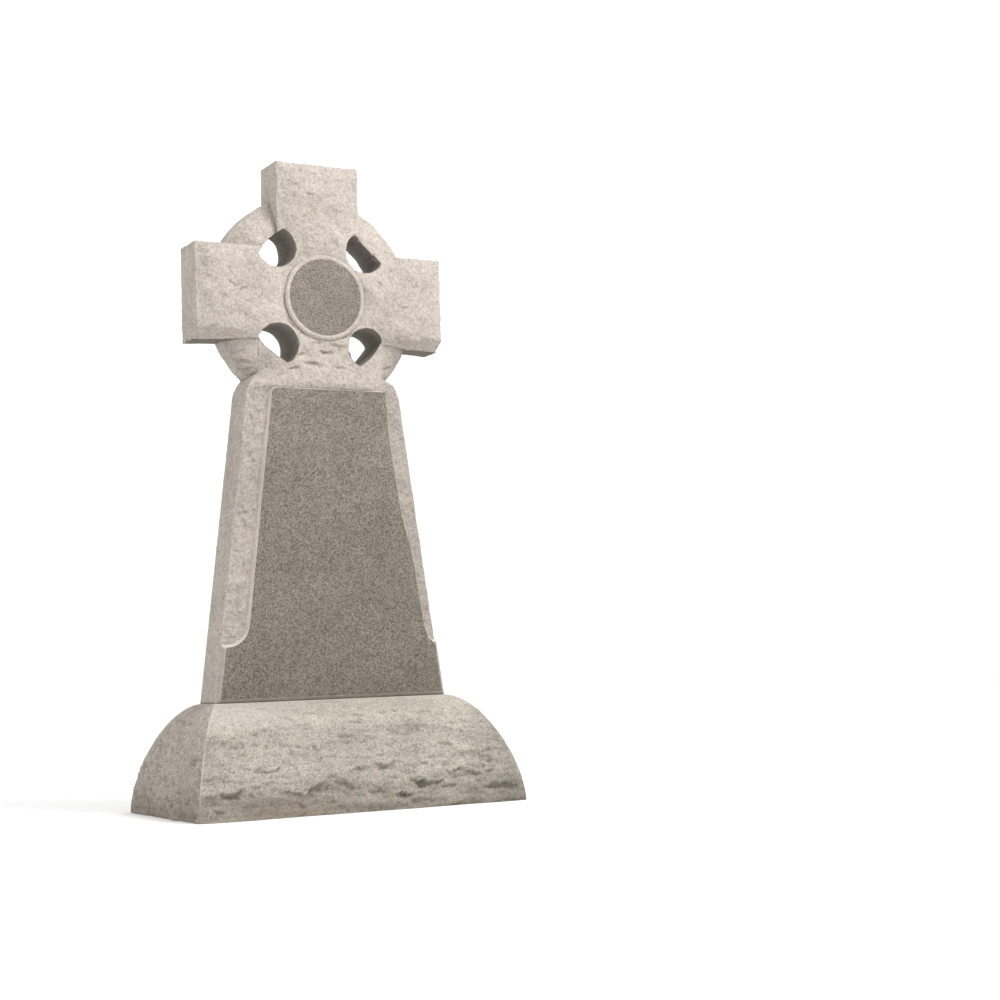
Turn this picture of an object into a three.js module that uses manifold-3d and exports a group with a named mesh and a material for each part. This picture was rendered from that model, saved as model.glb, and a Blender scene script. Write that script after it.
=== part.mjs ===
// Celtic cross headstone: a rock-faced granite cross standing on a curved granite base.
// Millimetres, +Z up, front towards -Y, origin at the middle of the base's underside.
import * as THREE from "three";
import Module from "manifold-3d";

const wasm = await Module();
wasm.setup();

// The base.
const BASE_WIDTH = 775;
const BASE_DEPTH = 455;
const BASE_HEIGHT = 240;
const BASE_SEAT_MARGIN = 1.5;
const BASE_CURVE = 1.62;
const BASE_ROCK_SWELL = 13;
const BASE_SIDE_SWELL = 5;
const BASE_LEDGE = 5;
const BASE_LEVELS = 18;
const BASE_STEPS_LONG = 28;
const BASE_STEPS_SHORT = 16;

// The cross.
const BED_GAP = 0.3;
const FOOT_WIDTH = 559;
const CROSS_THICKNESS = 108;
const SHAFT_TAPER = 0.1316;
const SHOULDER_Z = 915;
const SHOULDER_RADIUS = 75;
const TOP_Z = 1466;
const ARM_SPAN = 609;
const ARM_RISE = 112;
const ARM_DROP = 98;
const ARM_DROP_END = 105;
const TOP_ARM_WIDTH = 204;
const NECK_WIDTH = 310;
const HEAD_CENTRE_Z = 1153.5;
const ARRIS_SETBACK = 17;
const FOOT_CHAMFER = 8;
// The holes and the upper arm are cut a little to the left of the disc.
const HEAD_SHIFT = -5;

const HOLE_RADIUS = 47;
const HOLE_OFFSET_X = 109.5;
const HOLE_OFFSET_Z = 112;
const RING_OUTER = 250;
const RING_INNER = 178;
const RING_OVERLAP = 22;
const RING_BACK_Y = 54;
// How far forward the ring's face stands, from its inner edge to its outer one.
const RING_FACE = [[0, 31], [12, 30], [27, 25], [42, 16], [57, 5]];
const RING_LIP = [4, -4];
const RING_EDGE_Y = 12;
const RING_STEPS = 80;
// The neck's front falls back to the ring's face beside the lower holes.
const NECK_LOW_Z = 972;
const NECK_REACH = 24;

const DISC_RADIUS = 88;
const DISC_RIM = 98;
const DISC_PROUD = 4;
const DISC_RIM_PROUD = 1.5;
const DISC_MOAT = 6;
const DISC_STEPS = 64;

// The smooth panel and the rock-faced strips beside it.
const PANEL_TOP_Z = 941;
const PANEL_LEFT_TOP_X = -134;
const PANEL_LEFT_STOP_X = -199;
const PANEL_STOP_TOP_Z = 415;
const STRIP_STOP_Z = 362;
const PANEL_BEVEL = 7;
const PANEL_RISE = 17;
const PANEL_TOP_CORNER = 9;
const RIGHT_EDGE = [[146, 941], [150, 878], [154, 821], [162, 770], [169, 730], [176, 676],
  [187, 624], [199, 585], [210, 531], [216, 484], [223, 440], [229, 400]];
const RIGHT_STOP = [[238, 374], [252, 362]];

// The rock facing.
const GRID_STEP = 14.5;
const HEAD_SWELL = 20;
const STRIP_SWELL = 7;
const SWELL_REACH = 26;
const ROCK_ROUGH = 2.2;
const PITCH_LINES = [[-14, 26, -128, 5], [-52, -4, -150, 5], [14, 56, -116, 4]];

const STONE = "#cfc5b8";
const BASE_STONE = "#c3b7a6";
const HALF_T = CROSS_THICKNESS / 2;
const FOOT_Z = BASE_HEIGHT + BED_GAP;

function solid(positions, indices) {
  const body = new wasm.Mesh({
    numProp: 3,
    vertProperties: new Float32Array(positions),
    triVerts: new Uint32Array(indices),
  });
  return new wasm.Manifold(body);
}

function geometryOf(body) {
  const mesh = body.getMesh();
  const geometry = new THREE.BufferGeometry();
  const places = new Float32Array(mesh.vertProperties);
  geometry.setAttribute("position", new THREE.BufferAttribute(places, 3));
  geometry.setIndex(new THREE.BufferAttribute(new Uint32Array(mesh.triVerts), 1));
  return geometry;
}

// Signed area of an outline in the x-z plane.
function area(outline) {
  let total = 0;
  for (let i = 0; i < outline.length; i += 1) {
    const [ax, az] = outline[i];
    const [bx, bz] = outline[(i + 1) % outline.length];
    total += ax * bz - bx * az;
  }
  return total / 2;
}

function anticlockwise(outline) {
  return area(outline) > 0 ? outline : [...outline].reverse();
}

// Moves every side of an outline inwards by a distance.
function inset(outline, distance) {
  const count = outline.length;
  return outline.map(([x, z], i) => {
    const [px, pz] = outline[(i + count - 1) % count];
    const [nx, nz] = outline[(i + 1) % count];
    const la = Math.hypot(x - px, z - pz);
    const lb = Math.hypot(nx - x, nz - z);
    const ax = -(z - pz) / la;
    const az = (x - px) / la;
    const bx = -(nz - z) / lb;
    const bz = (nx - x) / lb;
    const scale = distance / (1 + ax * bx + az * bz);
    return [x + (ax + bx) * scale, z + (az + bz) * scale];
  });
}

// A solid between one outline at yFront and another with as many points at yBack.
function loft(front, yFront, back, yBack) {
  const count = front.length;
  const positions = [];
  for (const [x, z] of front) positions.push(x, yFront, z);
  for (const [x, z] of back) positions.push(x, yBack, z);
  const indices = [];
  for (let i = 0; i < count; i += 1) {
    const j = (i + 1) % count;
    indices.push(i, i + count, j);
    indices.push(j, i + count, j + count);
  }
  const frontCap = front.map(([x, z]) => new THREE.Vector2(x, z));
  for (const [a, b, c] of THREE.ShapeUtils.triangulateShape(frontCap, [])) {
    indices.push(a, b, c);
  }
  const backCap = back.map(([x, z]) => new THREE.Vector2(x, z));
  for (const [a, b, c] of THREE.ShapeUtils.triangulateShape(backCap, [])) {
    indices.push(a + count, c + count, b + count);
  }
  return solid(positions, indices);
}

function prism(outline, yFront, yBack) {
  return loft(outline, yFront, outline, yBack);
}

// A body of revolution about a line parallel to Y through (0, HEAD_CENTRE_Z).
// The profile is a closed outline of [radius, y] that doesn't touch the axis.
function revolve(profile, steps, wobble) {
  const positions = [];
  const indices = [];
  const count = profile.length;
  for (let s = 0; s < steps; s += 1) {
    const angle = (s / steps) * Math.PI * 2;
    profile.forEach(([radius, y], k) => {
      const [dr, dy] = wobble(angle, k);
      const reach = radius + dr;
      positions.push(reach * Math.cos(angle), y + dy, HEAD_CENTRE_Z + reach * Math.sin(angle));
    });
  }
  for (let s = 0; s < steps; s += 1) {
    const next = (s + 1) % steps;
    for (let k = 0; k < count; k += 1) {
      const m = (k + 1) % count;
      const a = s * count + k;
      const b = s * count + m;
      const c = next * count + k;
      const d = next * count + m;
      indices.push(a, b, c, c, b, d);
    }
  }
  const body = solid(positions, indices);
  if (body.volume() > 0) return body;
  for (let i = 0; i < indices.length; i += 3) {
    [indices[i + 1], indices[i + 2]] = [indices[i + 2], indices[i + 1]];
  }
  return solid(positions, indices);
}

// Even, repeatable unevenness between about -1 and 1.
function uneven(x, z, seed) {
  let total = 0;
  let weight = 0.5;
  let scale = 1 / 120;
  for (let k = 0; k < 4; k += 1) {
    const turn = seed * 1.7 + k * 2.4;
    const u = (x * Math.cos(turn) + z * Math.sin(turn)) * scale * Math.PI * 2;
    const v = (z * Math.cos(turn * 1.3) - x * Math.sin(turn * 1.3)) * scale * Math.PI * 2;
    total += weight * Math.sin(u + seed * 3.1 + k) * Math.cos(v * 0.8 + seed + k * 1.9);
    weight *= 0.72;
    scale *= 1.9;
  }
  return total;
}

function smooth(low, high, value) {
  const t = Math.min(1, Math.max(0, (value - low) / (high - low)));
  return t * t * (3 - 2 * t);
}

function shaftHalf(z) {
  return FOOT_WIDTH / 2 - SHAFT_TAPER * (z - BASE_HEIGHT);
}

// The cross's front outline, one half mirrored to the other.
function crossOutline() {
  const halfTop = TOP_ARM_WIDTH / 2;
  const halfNeck = NECK_WIDTH / 2;
  const low = HEAD_CENTRE_Z - ARM_DROP;
  const high = HEAD_CENTRE_Z + ARM_RISE;
  const right = [[shaftHalf(FOOT_Z), FOOT_Z], [shaftHalf(SHOULDER_Z), SHOULDER_Z]];
  const centreX = shaftHalf(SHOULDER_Z) - SHOULDER_RADIUS;
  const last = Math.acos((halfNeck - centreX) / SHOULDER_RADIUS);
  for (let k = 1; k <= 8; k += 1) {
    const angle = (k / 8) * last;
    const x = centreX + SHOULDER_RADIUS * Math.cos(angle);
    const z = SHOULDER_Z + SHOULDER_RADIUS * Math.sin(angle);
    right.push([x, z]);
  }
  right.push([halfNeck, low]);
  right.push([ARM_SPAN / 2, HEAD_CENTRE_Z - ARM_DROP_END]);
  right.push([ARM_SPAN / 2, high]);
  const left = right.map(([x, z]) => [-x, z]).reverse();
  right.push([HEAD_SHIFT + halfTop, high]);
  right.push([HEAD_SHIFT + halfTop, TOP_Z]);
  left.unshift([HEAD_SHIFT - halfTop, high]);
  left.unshift([HEAD_SHIFT - halfTop, TOP_Z]);
  return anticlockwise([...right, ...left]);
}

// Least distance from a point to the sides of an outline, positive inside it.
function edgeDistance(outline, x, z) {
  let best = Infinity;
  let inside = false;
  for (let i = 0; i < outline.length; i += 1) {
    const [ax, az] = outline[i];
    const [bx, bz] = outline[(i + 1) % outline.length];
    const lengthSquared = (bx - ax) ** 2 + (bz - az) ** 2;
    const along = ((x - ax) * (bx - ax) + (z - az) * (bz - az)) / lengthSquared;
    const t = Math.min(1, Math.max(0, along));
    best = Math.min(best, Math.hypot(x - ax - t * (bx - ax), z - az - t * (bz - az)));
    const crosses = (az > z) !== (bz > z);
    if (crosses && x < ax + ((z - az) / (bz - az)) * (bx - ax)) inside = !inside;
  }
  return inside ? best : -best;
}

// How far forward the ring's face stands at a distance from the middle of the head.
function ringForward(radius) {
  const out = radius - RING_INNER;
  for (let i = 1; i < RING_FACE.length; i += 1) {
    const [a, forwardA] = RING_FACE[i - 1];
    const [b, forwardB] = RING_FACE[i];
    const t = Math.max(0, (out - a) / (b - a));
    if (out <= b) return forwardA + t * (forwardB - forwardA);
  }
  return RING_FACE[RING_FACE.length - 1][1];
}

// How far the rock-faced front stands forward of the middle plane.
function rockFront(outline, x, z) {
  const arris = HALF_T - ARRIS_SETBACK;
  const depth = Math.max(0, edgeDistance(outline, x, z));
  const head = smooth(PANEL_TOP_Z - 10, PANEL_TOP_Z + 10, z);
  const swell = STRIP_SWELL + (HEAD_SWELL - STRIP_SWELL) * head;
  const rise = 1 - Math.exp(-depth / SWELL_REACH);
  let front = arris + swell * rise;
  front += ROCK_ROUGH * uneven(x, z, 1) * rise * (0.5 + 0.7 * head) * 1.6;
  const fromCentre = Math.hypot(x, z - HEAD_CENTRE_Z);
  const moat = 1 - smooth(DISC_RIM + 1, DISC_RIM + 16, fromCentre);
  front -= DISC_MOAT * moat;
  for (const [low, high, height, deep] of PITCH_LINES) {
    const across = smooth(low - 20, low + 6, x) * (1 - smooth(high - 6, high + 20, x));
    const gap = z - HEAD_CENTRE_Z - height;
    front -= deep * across * Math.exp(-(gap * gap) / 90) * rise;
  }
  const armZ = HEAD_CENTRE_Z - ARM_DROP;
  const fromSide = Math.max(0, NECK_WIDTH / 2 - Math.abs(x));
  const along = smooth(NECK_LOW_Z - 8, NECK_LOW_Z + 8, z) * (1 - smooth(armZ - 4, armZ + 12, z));
  const share = Math.exp(-fromSide / NECK_REACH) * along;
  front += (ringForward(fromCentre) + 1 - front) * share;
  return front;
}

// The rock-faced slab: an even grid in front, flat behind.
function rockSlab(outline) {
  const columns = Math.ceil((ARM_SPAN + 16) / GRID_STEP);
  const rows = Math.ceil((TOP_Z - FOOT_Z + 16) / GRID_STEP);
  const stepX = (ARM_SPAN + 16) / columns;
  const stepZ = (TOP_Z - FOOT_Z + 16) / rows;
  const positions = [];
  const indices = [];
  const wide = columns + 1;
  const sheet = wide * (rows + 1);
  for (const back of [false, true]) {
    for (let r = 0; r <= rows; r += 1) {
      for (let c = 0; c <= columns; c += 1) {
        const x = -ARM_SPAN / 2 - 8 + c * stepX;
        const z = FOOT_Z - 8 + r * stepZ;
        positions.push(x, back ? HALF_T + 20 : -rockFront(outline, x, z), z);
      }
    }
  }
  for (let r = 0; r < rows; r += 1) {
    for (let c = 0; c < columns; c += 1) {
      const a = r * wide + c;
      const b = a + 1;
      const d = a + wide;
      const e = d + 1;
      if ((r + c) % 2 === 0) indices.push(a, b, e, a, e, d);
      else indices.push(a, b, d, b, e, d);
      indices.push(sheet + a, sheet + e, sheet + b, sheet + a, sheet + d, sheet + e);
    }
  }
  const rim = [];
  for (let c = 0; c < columns; c += 1) rim.push(c);
  for (let r = 0; r < rows; r += 1) rim.push(r * wide + columns);
  for (let c = columns; c > 0; c -= 1) rim.push(rows * wide + c);
  for (let r = rows; r > 0; r -= 1) rim.push(r * wide);
  for (let i = 0; i < rim.length; i += 1) {
    const a = rim[i];
    const b = rim[(i + 1) % rim.length];
    indices.push(a, sheet + a, b, b, sheet + a, sheet + b);
  }
  return solid(positions, indices);
}

// The smooth raised panel, wider than the shaft below the two strips.
function panelOutline() {
  const outer = FOOT_WIDTH / 2 + 30;
  const points = [[outer, FOOT_Z - 30], [outer, STRIP_STOP_Z]];
  for (const point of [...RIGHT_STOP].reverse()) points.push(point);
  for (const point of [...RIGHT_EDGE].reverse()) points.push(point);
  for (let k = 0; k <= 4; k += 1) {
    const angle = Math.PI / 2 + (k / 4) * (Math.PI / 2);
    const x = PANEL_LEFT_TOP_X + PANEL_TOP_CORNER * (1 + Math.cos(angle));
    const z = PANEL_TOP_Z - PANEL_TOP_CORNER * (1 - Math.sin(angle));
    points.push([x, z]);
  }
  const radius = PANEL_STOP_TOP_Z - STRIP_STOP_Z;
  for (let k = 0; k <= 7; k += 1) {
    const angle = (k / 7) * (Math.PI / 2);
    const x = PANEL_LEFT_STOP_X - radius + radius * Math.cos(angle);
    const z = PANEL_STOP_TOP_Z - radius * Math.sin(angle);
    points.push([x, z]);
  }
  points.push([-outer, STRIP_STOP_Z], [-outer, FOOT_Z - 30]);
  return anticlockwise(points);
}

function crossBody() {
  const outline = crossOutline();
  const panel = panelOutline();
  const widePanel = inset(panel, -PANEL_BEVEL);
  const bevelBack = -HALF_T + PANEL_RISE;
  const narrow = inset(outline, FOOT_CHAMFER);
  const mask = prism(outline, -HALF_T + FOOT_CHAMFER, HALF_T)
    .add(loft(narrow, -HALF_T, outline, -HALF_T + FOOT_CHAMFER))
    .add(prism(narrow, -HALF_T - 40, -HALF_T));
  const discFace = -HALF_T - DISC_PROUD;
  const rimFace = discFace - DISC_RIM_PROUD;
  const discProfile = [[0.5, 0], [DISC_RIM, 0], [DISC_RIM, rimFace + 3], [DISC_RIM - 3, rimFace],
    [DISC_RADIUS + 2, rimFace], [DISC_RADIUS, discFace], [0.5, discFace]];
  const still = () => [0, 0];
  const disc = revolve(discProfile, DISC_STEPS, still);
  const plug = prism([[-3, HEAD_CENTRE_Z - 3], [3, HEAD_CENTRE_Z - 3], [3, HEAD_CENTRE_Z + 3],
    [-3, HEAD_CENTRE_Z + 3]], discFace, 0);
  let body = rockSlab(outline)
    .add(prism(panel, -HALF_T, 0))
    .add(loft(panel, -HALF_T, widePanel, bevelBack))
    .add(prism(widePanel, bevelBack, 0))
    .add(disc)
    .add(plug)
    .intersect(mask);
  const profile = [[RING_INNER - RING_OVERLAP, RING_BACK_Y]];
  profile.push([RING_INNER - RING_OVERLAP, -RING_FACE[0][1]]);
  for (const [out, forward] of RING_FACE) profile.push([RING_INNER + out, -forward]);
  profile.push([RING_OUTER - RING_LIP[0], -RING_LIP[1]]);
  profile.push([RING_OUTER, RING_EDGE_Y]);
  profile.push([RING_OUTER, RING_BACK_Y]);
  const ring = revolve(profile, RING_STEPS, (angle, k) => {
    if (k < 3 || k > 7) return [0, 0];
    return [0, 2.6 * uneven(angle * 215, k * 18, 3)];
  });
  body = body.add(ring);
  for (const sideX of [-1, 1]) {
    for (const sideZ of [-1, 1]) {
      body = body.subtract(prism(holeOutline(sideX, sideZ), -HALF_T - 60, HALF_T + 60));
    }
  }
  return body;
}

// One pierced hole: a circle, cut off where the ring begins.
function holeOutline(sideX, sideZ) {
  const centreX = HEAD_SHIFT + sideX * HOLE_OFFSET_X;
  const points = [];
  for (let k = 0; k < 72; k += 1) {
    const angle = (k / 72) * Math.PI * 2;
    let x = centreX + HOLE_RADIUS * Math.cos(angle);
    let z = sideZ * HOLE_OFFSET_Z + HOLE_RADIUS * Math.sin(angle);
    const reach = Math.hypot(x - HEAD_SHIFT, z);
    if (reach > RING_INNER) {
      x = HEAD_SHIFT + ((x - HEAD_SHIFT) * RING_INNER) / reach;
      z = (z * RING_INNER) / reach;
    }
    points.push([x, HEAD_CENTRE_Z + z]);
  }
  return anticlockwise(points);
}

// Half extents of the base at a height, as a share of the way out from the seat.
function baseShare(z) {
  const t = Math.min(1, z / BASE_HEIGHT);
  return (1 - t ** BASE_CURVE) ** (1 / BASE_CURVE);
}

function baseBody() {
  const seatX = FOOT_WIDTH / 2 + BASE_SEAT_MARGIN;
  const seatY = HALF_T + BASE_SEAT_MARGIN;
  const positions = [];
  const indices = [];
  const sides = [
    [[-1, -1], [1, -1], [0, -1], BASE_STEPS_LONG, BASE_ROCK_SWELL],
    [[1, -1], [1, 1], [1, 0], BASE_STEPS_SHORT, BASE_SIDE_SWELL],
    [[1, 1], [-1, 1], [0, 1], BASE_STEPS_LONG, BASE_SIDE_SWELL],
    [[-1, 1], [-1, -1], [-1, 0], BASE_STEPS_SHORT, BASE_SIDE_SWELL],
  ];
  let perLevel = 0;
  for (let level = 0; level <= BASE_LEVELS; level += 1) {
    const turn = (level / BASE_LEVELS) * (Math.PI / 2);
    const z = BASE_HEIGHT * Math.sin(turn) ** 1.15;
    const share = baseShare(z);
    const halfX = seatX + (BASE_WIDTH / 2 - seatX) * share;
    const halfY = seatY + (BASE_DEPTH / 2 - seatY) * share;
    const fromSeat = smooth(0, 60, BASE_HEIGHT - z);
    const start = positions.length / 3;
    sides.forEach(([from, to, out, steps, swell], side) => {
      for (let s = 0; s < steps; s += 1) {
        const t = s / steps;
        const x = halfX * (from[0] + (to[0] - from[0]) * t);
        const y = halfY * (from[1] + (to[1] - from[1]) * t);
        const alongSide = out[0] === 0 ? x : y;
        const toCorner = Math.min(t, 1 - t) * (out[0] === 0 ? halfX : halfY) * 2;
        const free = 1 - Math.exp(-toCorner / 22);
        const body = swell * fromSeat * free * (0.55 + 0.45 * smooth(0, 60, z));
        const rough = BASE_LEDGE * uneven(alongSide, z * 2.6, 5 + side) * fromSeat * free;
        const push = body + rough * (side === 0 ? 1 : 0.5);
        positions.push(x + out[0] * push, y + out[1] * push, z);
      }
    });
    perLevel = positions.length / 3 - start;
  }
  for (let level = 0; level < BASE_LEVELS; level += 1) {
    for (let i = 0; i < perLevel; i += 1) {
      const j = (i + 1) % perLevel;
      const a = level * perLevel + i;
      const b = level * perLevel + j;
      indices.push(a, b, b + perLevel, a, b + perLevel, a + perLevel);
    }
  }
  for (const level of [0, BASE_LEVELS]) {
    const ring = [];
    for (let i = 0; i < perLevel; i += 1) {
      const k = (level * perLevel + i) * 3;
      ring.push(new THREE.Vector2(positions[k], positions[k + 1]));
    }
    for (const [a, b, c] of THREE.ShapeUtils.triangulateShape(ring, [])) {
      const shift = level * perLevel;
      if (level === 0) indices.push(a + shift, c + shift, b + shift);
      else indices.push(a + shift, b + shift, c + shift);
    }
  }
  return solid(positions, indices);
}

function named(body, name, colour) {
  const material = new THREE.MeshStandardMaterial({
    color: colour,
    roughness: 0.9,
    metalness: 0,
  });
  const mesh = new THREE.Mesh(geometryOf(body), material);
  mesh.name = name;
  return mesh;
}

const headstone = new THREE.Group();
headstone.name = "celtic_cross_headstone";
headstone.add(named(baseBody(), "base", BASE_STONE));
headstone.add(named(crossBody(), "cross", STONE));

export default headstone;
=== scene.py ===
import math

import bpy
import numpy as np
from mathutils import Matrix, Vector, kdtree, noise


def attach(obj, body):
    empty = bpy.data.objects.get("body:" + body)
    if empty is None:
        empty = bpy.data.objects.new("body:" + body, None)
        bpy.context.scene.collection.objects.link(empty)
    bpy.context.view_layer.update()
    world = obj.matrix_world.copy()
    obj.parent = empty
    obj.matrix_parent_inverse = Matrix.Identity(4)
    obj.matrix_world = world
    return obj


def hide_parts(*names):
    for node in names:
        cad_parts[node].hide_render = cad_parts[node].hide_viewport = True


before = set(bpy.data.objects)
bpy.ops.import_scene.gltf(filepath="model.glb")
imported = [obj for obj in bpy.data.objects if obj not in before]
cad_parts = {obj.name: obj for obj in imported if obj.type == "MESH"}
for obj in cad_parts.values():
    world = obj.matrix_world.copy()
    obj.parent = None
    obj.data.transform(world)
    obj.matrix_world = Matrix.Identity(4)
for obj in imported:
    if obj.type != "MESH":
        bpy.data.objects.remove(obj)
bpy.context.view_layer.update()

# Sizes in metres, as the solids have them.
BASE_W, BASE_D, BASE_H = 0.775, 0.455, 0.240
SEAT_X, SEAT_Y = 0.281, 0.0555
BASE_CURVE = 1.62
FRONT_SWELL, SIDE_SWELL = 0.012, 0.005
FOOT_Z = 0.2403
HALF_T = 0.054
PANEL_TOP = 0.941
STRIP_STOP = 0.362
HEAD_Z = 1.1535
HEAD_SHIFT = -0.005
HOLE_R, HOLE_X, HOLE_Z = 0.047, 0.1095, 0.112
ARM_LOW, ARM_HIGH = 0.098, 0.112
TOP_ARM_LEFT, TOP_ARM_RIGHT = -0.107, 0.097
NECK_HALF, NECK_LOW, NECK_TOP = 0.155, 0.966, 1.054
RING_OUT = 0.250
RING_FRONT_Y = -0.0350
DISC_R, DISC_RIM, DISC_PROUD = 0.088, 0.098, 0.004

# Surface zones of the cross, and the longest triangle side allowed in each.
ROCK, PANEL, DISC, RIM, BEVEL, SIDE, HOLE, RINGFACE, RINGSIDE, BACK, UNDER = range(11)
ZONE_LIMIT = {
    ROCK: 0.0040,
    PANEL: 0.030,
    DISC: 0.020,
    RIM: 0.0040,
    BEVEL: 0.0042,
    SIDE: 0.0080,
    HOLE: 0.0060,
    RINGFACE: 0.0040,
    RINGSIDE: 0.0060,
    BACK: 0.0120,
    UNDER: 0.05,
}

# What the cross keeps of the triangles that halving the edges makes.
TRIANGLES_KEPT = 190000

# Unevenness of the stone, in layers: size of the forms, octaves, seed, depth, stretch.
EVEN = (1, 1, 1)
CROSS_BIG = (0.085, 2, 1, 0.0040, EVEN)
CROSS_MIDDLE = (0.030, 3, 2, 0.0022, (0.8, 1, 1.2))
CROSS_GRAIN = (0.007, 3, 4, 0.0007, EVEN)
WALL_BROAD = (0.050, 4, 8, 0.0018, EVEN)
WALL_SMALL = (0.014, 3, 9, 0.0012, EVEN)
ARRIS_BROAD = (0.028, 2, 6, 0.0020, EVEN)
ARRIS_SMALL = (0.009, 2, 7, 0.0009, EVEN)
BASE_BIG = (0.130, 2, 22, 0.0065, (0.7, 1, 1.6))
BASE_FLOW = (0.055, 4, 23, 0.0070, (0.32, 1, 1.9))
BASE_SMALL = (0.014, 4, 25, 0.0024, (0.7, 1, 1.3))
BASE_GRAIN = (0.006, 3, 26, 0.0009, EVEN)
# Chipped flats: size, seed, depth, stretch.
CROSS_CHIPS = (0.015, 5, 0.0009, EVEN)
BASE_CHIPS = (0.030, 24, 0.0024, (0.6, 1, 1.4))
# How far from an arris the relief reaches its full depth.
ROCK_CALM, WALL_CALM = 0.006, 0.010
CORNER_CALM, CORNER_CALM_FINE = 0.020, 0.006
# Relief left on the tooled bevels and on the disc's rim, and the fill of the rim's groove.
BEVEL_SHARE, RIM_SHARE, GROOVE_FILL = 0.25, 0.55, 0.0010

# Small pitching scars on the head: line of the lip as (x, height over the disc's
# middle), depth, how far the scar runs down from the lip, and how soft it is.
HEAD_SCARS = [
    ([(-0.017, -0.122), (0.020, -0.125)], 0.0055, 0.011, 0.35),
    ([(-0.061, -0.150), (-0.015, -0.154)], 0.0050, 0.012, 0.4),
    ([(0.008, -0.103), (0.056, -0.110)], 0.0040, 0.014, 0.6),
    ([(-0.071, -0.135), (-0.053, -0.128)], 0.0034, 0.009, 0.4),
    ([(0.055, -0.122), (0.062, -0.134)], 0.0034, 0.009, 0.4),
    ([(-0.040, -0.105), (-0.005, -0.099)], 0.0034, 0.011, 0.6),
    ([(-0.097, -0.166), (-0.063, -0.159)], 0.0034, 0.010, 0.5),
    ([(0.015, -0.157), (0.052, -0.159)], 0.0034, 0.010, 0.5),
    ([(-0.235, 0.026), (-0.217, 0.018)], 0.0024, 0.009, 0.5),
    ([(-0.211, 0.006), (-0.185, 0.016)], 0.0028, 0.011, 0.5),
    ([(-0.046, 0.241), (-0.022, 0.241)], 0.0024, 0.009, 0.5),
    ([(-0.086, 0.261), (-0.060, 0.261)], 0.0022, 0.009, 0.5),
    ([(0.132, 0.051), (0.150, 0.039)], 0.0028, 0.009, 0.5),
    ([(0.189, -0.012), (0.216, -0.006)], 0.0028, 0.011, 0.5),
    ([(-0.201, -0.021), (-0.178, -0.011)], 0.0024, 0.009, 0.5),
    ([(-0.201, -0.185), (-0.175, -0.179)], 0.0040, 0.010, 0.3),
    ([(-0.210, -0.125), (-0.176, -0.118)], 0.0026, 0.012, 0.7),
    ([(-0.200, -0.142), (-0.156, -0.150)], 0.0030, 0.013, 0.6),
    ([(-0.196, -0.166), (-0.154, -0.160)], 0.0028, 0.012, 0.6),
    ([(0.160, -0.150), (0.188, -0.142)], 0.0034, 0.010, 0.4),
]

# A lump left standing on the ring's inner edge in the upper right hole:
# middle, reach, and how far it stands into the hole.
LUMP, LUMP_REACH, LUMP_PROUD = (0.1426, -0.030, 1.2530), 0.0085, 0.0085

# Struck-off ledges on the base's front: the same four values, with true heights.
BASE_SCARS = [
    ([(-0.263, 0.176), (-0.221, 0.176), (-0.176, 0.170)], 0.0060, 0.036, 0.80),
    ([(-0.343, 0.160), (-0.300, 0.156), (-0.241, 0.154)], 0.0034, 0.016, 0.55),
    ([(-0.151, 0.138), (-0.124, 0.138), (-0.099, 0.132)], 0.0050, 0.026, 0.80),
    ([(-0.088, 0.166), (-0.018, 0.162)], 0.0036, 0.024, 0.75),
    ([(-0.251, 0.096), (-0.225, 0.096), (-0.194, 0.102)], 0.0058, 0.012, 0.30),
    ([(-0.342, 0.057), (-0.318, 0.054), (-0.304, 0.057), (-0.286, 0.061)], 0.0135, 0.018, 0.35),
    ([(-0.356, 0.024), (-0.338, 0.022)], 0.0070, 0.011, 0.3),
    ([(-0.208, 0.054), (-0.181, 0.050), (-0.158, 0.046), (-0.136, 0.054), (-0.116, 0.062),
      (-0.092, 0.074)], 0.0070, 0.026, 0.45),
    ([(-0.092, 0.070), (-0.059, 0.064), (-0.031, 0.052), (0.017, 0.052), (0.050, 0.054)],
     0.0070, 0.036, 0.70),
    ([(-0.172, 0.028), (-0.149, 0.022)], 0.0060, 0.012, 0.4),
    ([(-0.052, 0.078), (-0.033, 0.086), (-0.002, 0.088)], 0.0074, 0.018, 0.40),
    ([(-0.009, 0.196), (0.027, 0.196)], 0.0038, 0.012, 0.4),
    ([(0.054, 0.200), (0.084, 0.200)], 0.0038, 0.011, 0.4),
    ([(0.099, 0.204), (0.117, 0.204)], 0.0034, 0.010, 0.4),
    ([(0.159, 0.200), (0.189, 0.200)], 0.0038, 0.011, 0.4),
    ([(0.246, 0.204), (0.267, 0.204)], 0.0038, 0.011, 0.4),
    ([(0.064, 0.170), (0.110, 0.172), (0.148, 0.170), (0.203, 0.160), (0.266, 0.152)],
     0.0062, 0.036, 0.70),
    ([(0.184, 0.136), (0.215, 0.130)], 0.0044, 0.016, 0.5),
    ([(0.219, 0.114), (0.256, 0.110), (0.316, 0.100)], 0.0056, 0.024, 0.6),
    ([(0.013, 0.100), (0.041, 0.090), (0.083, 0.102)], 0.0076, 0.016, 0.40),
    ([(0.098, 0.058), (0.115, 0.061), (0.135, 0.057), (0.184, 0.053)], 0.0140, 0.021, 0.30),
    ([(0.186, 0.072), (0.233, 0.078), (0.266, 0.068), (0.307, 0.064)], 0.0078, 0.030, 0.60),
    ([(0.058, 0.032), (0.086, 0.032), (0.102, 0.032)], 0.0120, 0.014, 0.30),
    ([(0.285, 0.038), (0.330, 0.038), (0.373, 0.044)], 0.0070, 0.024, 0.5),
]
# The base's sides in order, and the small scars strewn over each: how many, the deepest.
FRONT, RIGHT, REAR, LEFT = range(4)
STREWN = [(90, 0.0034), (45, 0.0040), (70, 0.0044), (45, 0.0040)]
STREWN_LOW, STREWN_HIGH = 0.015, 0.215
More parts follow.
